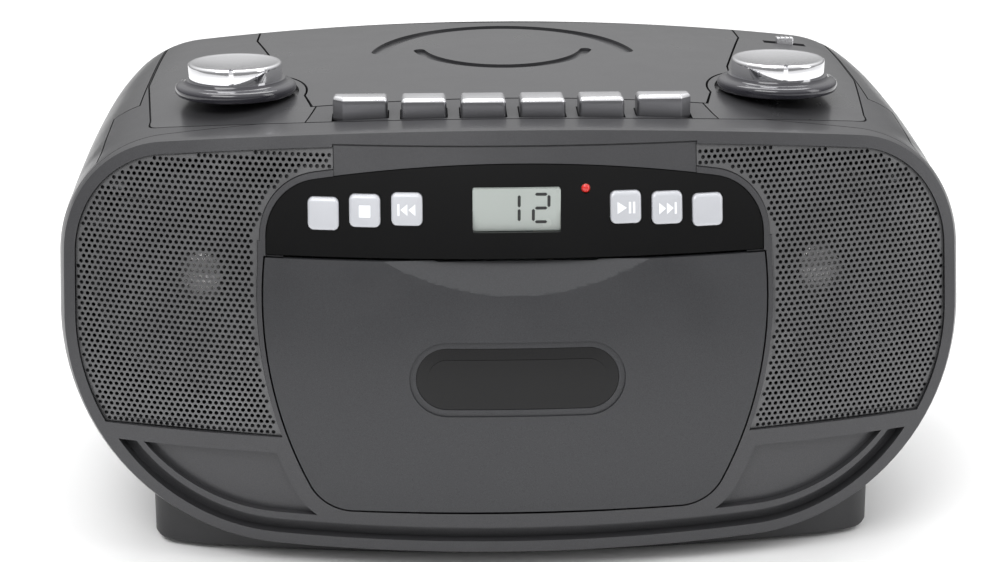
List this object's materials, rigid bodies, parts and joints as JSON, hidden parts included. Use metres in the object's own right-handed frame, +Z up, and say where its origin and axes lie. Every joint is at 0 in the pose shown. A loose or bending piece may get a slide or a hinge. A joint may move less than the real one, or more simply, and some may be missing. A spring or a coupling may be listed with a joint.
{
  "type": "portable stereo",
  "caption": "Portable stereo with top-loading disc player, cassette door, two speaker grilles, piano keys, knobs and folding handle.",
  "frame": {"origin": "centre of the bounding box on the floor, under the feet", "axes": "+X to the right seen from the front, +Y to the back, +Z up"},
  "size_m": [0.3624, 0.2271, 0.1865],
  "materials": {
    "cabinet": "fine-textured dark grey moulded plastic",
    "lid": "dark grey satin moulded plastic",
    "base": "darker grey moulded plastic",
    "handle": "satin grey moulded plastic",
    "grille": "perforated sheet steel, satin grey paint",
    "silver": "silver-painted plastic, satin",
    "panel_black": "glossy black plastic",
    "smoked_window": "smoked clear plastic",
    "lcd": "grey-green liquid crystal display",
    "dark_plastic": "black moulded plastic",
    "white_plastic": "off-white moulded plastic",
    "cone_paper": "grey paper cone with a lighter centre dome",
    "board": "green circuit board",
    "steel": "plated sheet steel",
    "chrome": "bright plated",
    "brass": "turned brass",
    "rubber": "black rubber"
  },
  "bodies": {
    "root": {"front_cabinet": "cabinet", "rear_cabinet": "cabinet", "top_deck": "cabinet", "key_strip": "cabinet", "base_plinth": "base", "rubber_feet": "rubber", "left_grille": "grille", "right_grille": "grille", "left_speaker": "steel", "right_speaker": "steel", "left_cone": "cone_paper", "right_cone": "cone_paper", "display_panel": "panel_black", "lcd_module": "lcd", "button_board": "board", "cassette_chassis": "steel", "cassette_motor": "steel", "drive_belt": "rubber", "volume_pot": "steel", "tuning_capacitor": "white_plastic", "cd_mechanism": "dark_plastic", "handle_pivots": "steel", "battery_contacts": "brass", "main_board": "board", "transformer": "steel", "ac_inlet": "dark_plastic", "case_screws": "steel"},
    "cd_lid": {"cd_lid": "lid"},
    "cd_clamp": {"cd_clamp": "white_plastic"},
    "handle": {"handle": "handle"},
    "door": {"cassette_door": "cabinet", "door_window": "smoked_window", "cassette_holder": "dark_plastic"},
    "battery_door": {"battery_door": "cabinet"},
    "antenna_base": {"antenna_base": "chrome"},
    "antenna_tube": {"antenna_tube": "chrome"},
    "antenna_tip": {"antenna_tip": "chrome"},
    "head_bridge": {"head_bridge": "steel"},
    "pinch_roller": {"pinch_roller": "rubber"},
    "supply_spindle": {"supply_spindle": "white_plastic"},
    "takeup_spindle": {"takeup_spindle": "white_plastic"},
    "capstan_flywheel": {"capstan_flywheel": "brass"},
    "motor_pulley": {"motor_pulley": "brass"},
    "cd_spindle": {"cd_spindle": "dark_plastic"},
    "laser_sled": {"laser_sled": "dark_plastic"},
    "volume_knob": {"volume_knob": "chrome"},
    "tuning_knob": {"tuning_knob": "chrome"},
    "function_slider": {"function_slider": "silver"},
    "record_key": {"record_key": "silver"},
    "play_key": {"play_key": "silver"},
    "rewind_key": {"rewind_key": "silver"},
    "forward_key": {"forward_key": "silver"},
    "stop_eject_key": {"stop_eject_key": "silver"},
    "pause_key": {"pause_key": "silver"},
    "program_button": {"program_button": "silver"},
    "stop_button": {"stop_button": "silver"},
    "back_button": {"back_button": "silver"},
    "play_button": {"play_button": "silver"},
    "next_button": {"next_button": "silver"},
    "mode_button": {"mode_button": "silver"}
  },
  "joints": [
    {"name": "handle_fold", "type": "hinge", "parent": "root", "child": "handle", "pos_m": [0, -0.038, 0.14], "axis": [-1, 0, 0], "range_deg": [-90, 0]},
    {"name": "cd_lid_open", "type": "hinge", "parent": "root", "child": "cd_lid", "pos_m": [0, 0.0818, 0.178], "axis": [-1, 0, 0], "range_deg": [0, 65]},
    {"name": "cd_clamp_spin", "type": "hinge", "parent": "cd_lid", "child": "cd_clamp", "pos_m": [0, 0.0154, 0.173], "axis": [0, 0, 1], "continuous": true},
    {"name": "cassette_door_open", "type": "hinge", "parent": "root", "child": "door", "pos_m": [0, -0.106, 0.031], "axis": [1, 0, 0], "range_deg": [0, 35]},
    {"name": "battery_door_open", "type": "hinge", "parent": "root", "child": "battery_door", "pos_m": [0, 0.107, 0.034], "axis": [-1, 0, 0], "range_deg": [0, 100]},
    {"name": "record_key_press", "type": "slide", "parent": "root", "child": "record_key", "axis": [0, 0, -1], "range_m": [0, 0.0045], "stiffness_N_per_m": 300, "springref_m": -0.003},
    {"name": "play_key_press", "type": "slide", "parent": "root", "child": "play_key", "axis": [0, 0, -1], "range_m": [0, 0.0045], "stiffness_N_per_m": 300, "springref_m": -0.004},
    {"name": "rewind_key_press", "type": "slide", "parent": "root", "child": "rewind_key", "axis": [0, 0, -1], "range_m": [0, 0.0045], "stiffness_N_per_m": 300, "springref_m": -0.003},
    {"name": "forward_key_press", "type": "slide", "parent": "root", "child": "forward_key", "axis": [0, 0, -1], "range_m": [0, 0.0045], "stiffness_N_per_m": 300, "springref_m": -0.003},
    {"name": "stop_eject_key_press", "type": "slide", "parent": "root", "child": "stop_eject_key", "axis": [0, 0, -1], "range_m": [0, 0.0045], "stiffness_N_per_m": 300, "springref_m": -0.003},
    {"name": "pause_key_press", "type": "slide", "parent": "root", "child": "pause_key", "axis": [0, 0, -1], "range_m": [0, 0.0045], "stiffness_N_per_m": 300, "springref_m": -0.003},
    {"name": "head_bridge_slide", "type": "slide", "parent": "root", "child": "head_bridge", "axis": [0, 0, -1], "range_m": [0, 0.0072], "stiffness_N_per_m": 60, "springref_m": -0.01},
    {"name": "pinch_roller_spin", "type": "hinge", "parent": "head_bridge", "child": "pinch_roller", "pos_m": [0.0356, -0.088, 0.1167], "axis": [0, 1, 0], "continuous": true},
    {"name": "program_button_press", "type": "slide", "parent": "root", "child": "program_button", "axis": [0, 1, 0], "range_m": [0, 0.0012], "stiffness_N_per_m": 500, "springref_m": -0.0006},
    {"name": "stop_button_press", "type": "slide", "parent": "root", "child": "stop_button", "axis": [0, 1, 0], "range_m": [0, 0.0012], "stiffness_N_per_m": 500, "springref_m": -0.0006},
    {"name": "back_button_press", "type": "slide", "parent": "root", "child": "back_button", "axis": [0, 1, 0], "range_m": [0, 0.0012], "stiffness_N_per_m": 500, "springref_m": -0.0006},
    {"name": "play_button_press", "type": "slide", "parent": "root", "child": "play_button", "axis": [0, 1, 0], "range_m": [0, 0.0012], "stiffness_N_per_m": 500, "springref_m": -0.0006},
    {"name": "next_button_press", "type": "slide", "parent": "root", "child": "next_button", "axis": [0, 1, 0], "range_m": [0, 0.0012], "stiffness_N_per_m": 500, "springref_m": -0.0006},
    {"name": "mode_button_press", "type": "slide", "parent": "root", "child": "mode_button", "axis": [0, 1, 0], "range_m": [0, 0.0012], "stiffness_N_per_m": 500, "springref_m": -0.0006},
    {"name": "volume_turn", "type": "hinge", "parent": "root", "child": "volume_knob", "pos_m": [-0.111, -0.0226, 0.18], "axis": [0, 0, -1], "range_deg": [-150, 150]},
    {"name": "tuning_turn", "type": "hinge", "parent": "root", "child": "tuning_knob", "pos_m": [0.111, -0.0226, 0.18], "axis": [0, 0, -1], "range_deg": [-135, 135]},
    {"name": "function_slide", "type": "slide", "parent": "root", "child": "function_slider", "axis": [1, 0, 0], "range_m": [-0.005, 0.005]},
    {"name": "cd_spindle_spin", "type": "hinge", "parent": "root", "child": "cd_spindle", "pos_m": [0, 0.0154, 0.166], "axis": [0, 0, 1], "continuous": true},
    {"name": "sled_slide", "type": "slide", "parent": "root", "child": "laser_sled", "axis": [1, 0, 0], "range_m": [0, 0.0285]},
    {"name": "supply_spin", "type": "hinge", "parent": "root", "child": "supply_spindle", "pos_m": [-0.02125, -0.084, 0.0775], "axis": [0, -1, 0], "continuous": true},
    {"name": "takeup_spin", "type": "hinge", "parent": "root", "child": "takeup_spindle", "pos_m": [0.02125, -0.084, 0.0775], "axis": [0, -1, 0], "continuous": true},
    {"name": "capstan_spin", "type": "hinge", "parent": "root", "child": "capstan_flywheel", "pos_m": [0.026, -0.072, 0.1075], "axis": [0, -1, 0], "continuous": true},
    {"name": "motor_pulley_spin", "type": "hinge", "parent": "root", "child": "motor_pulley", "pos_m": [-0.038, -0.071, 0.1], "axis": [0, -1, 0], "continuous": true},
    {"name": "antenna_swing", "type": "hinge", "parent": "root", "child": "antenna_base", "pos_m": [0.133, 0.1107, 0.126], "axis": [0, 1, 0], "range_deg": [0, 90]},
    {"name": "antenna_tilt", "type": "hinge", "parent": "antenna_base", "child": "antenna_tube", "pos_m": [0.124, 0.1107, 0.126], "axis": [0, 0, -1], "range_deg": [0, 60]},
    {"name": "antenna_extend", "type": "slide", "parent": "antenna_tube", "child": "antenna_tip", "axis": [-1, 0, 0], "range_m": [0, 0.15]}
  ],
  "couplings": [
    {"joint": "head_bridge_slide", "follows": "play_key_press", "ratio": 1.6},
    {"joint": "motor_pulley_spin", "follows": "capstan_spin", "ratio": 5.2}
  ]
}
